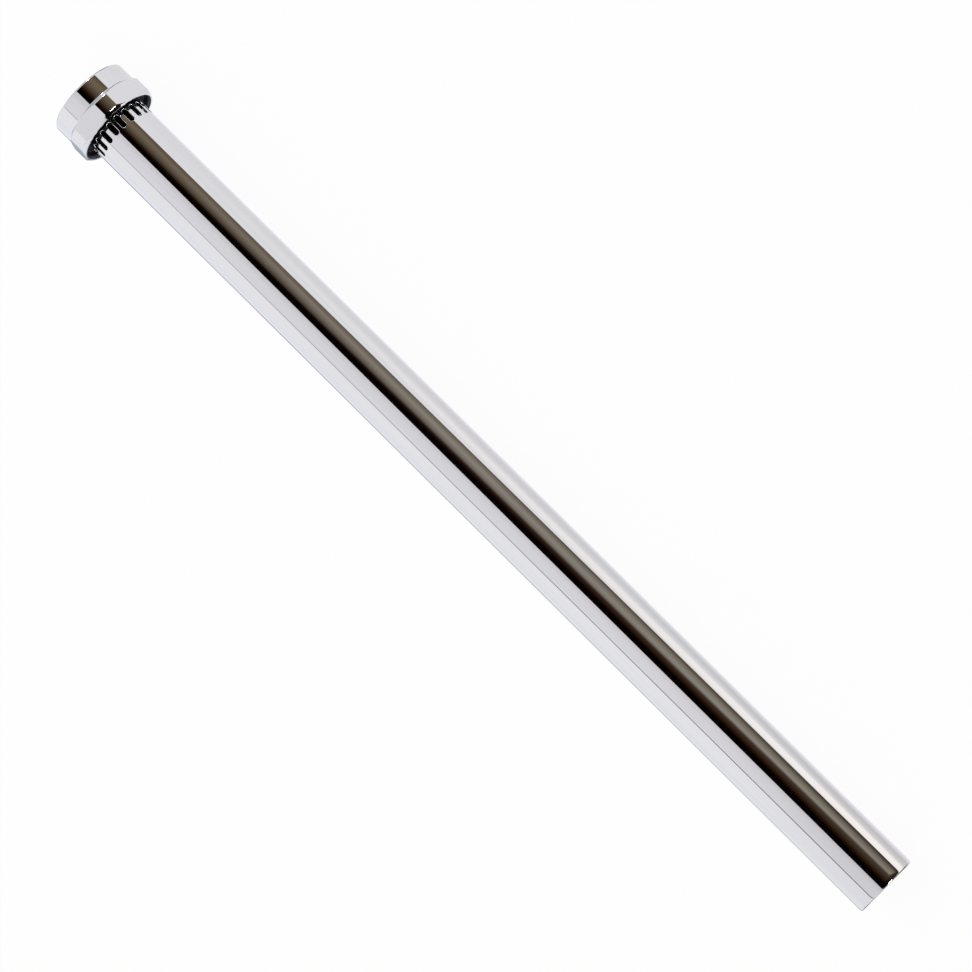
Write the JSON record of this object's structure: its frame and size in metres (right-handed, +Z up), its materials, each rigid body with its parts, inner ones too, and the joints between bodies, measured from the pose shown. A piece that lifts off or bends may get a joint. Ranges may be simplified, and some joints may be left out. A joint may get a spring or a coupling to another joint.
{
  "type": "flush pipe",
  "caption": "Straight chrome flush pipe with a captive union nut at one end and a ring of air slots below it; carries flush water from a valve down to the pan.",
  "frame": {"origin": "on the floor under the middle of the pipe, as it lies at rest", "axes": "+Z up; +X along the pipe towards the nut; the pipe rises towards the nut by about 0.6 degrees, because it lies on one flat of the nut and on its plain end"},
  "size_m": [0.4615, 0.04, 0.0376],
  "materials": {
    "chrome_pipe": "bright chrome plate on drawn brass tube",
    "chrome_nut": "bright chrome plate on turned brass",
    "insert_plastic": "black moulded plastic",
    "washer_rubber": "matt black rubber"
  },
  "bodies": {
    "pipe": {"flush_pipe": "chrome_pipe", "jet_insert": "insert_plastic", "sealing_washer": "washer_rubber"},
    "nut": {"union_nut": "chrome_nut"}
  },
  "joints": [
    {"name": "nut_spin", "type": "hinge", "parent": "pipe", "child": "nut", "pos_m": [0.21199, 0, 0.01875], "axis": [0.9999, 0, 0.0107], "continuous": true}
  ]
}
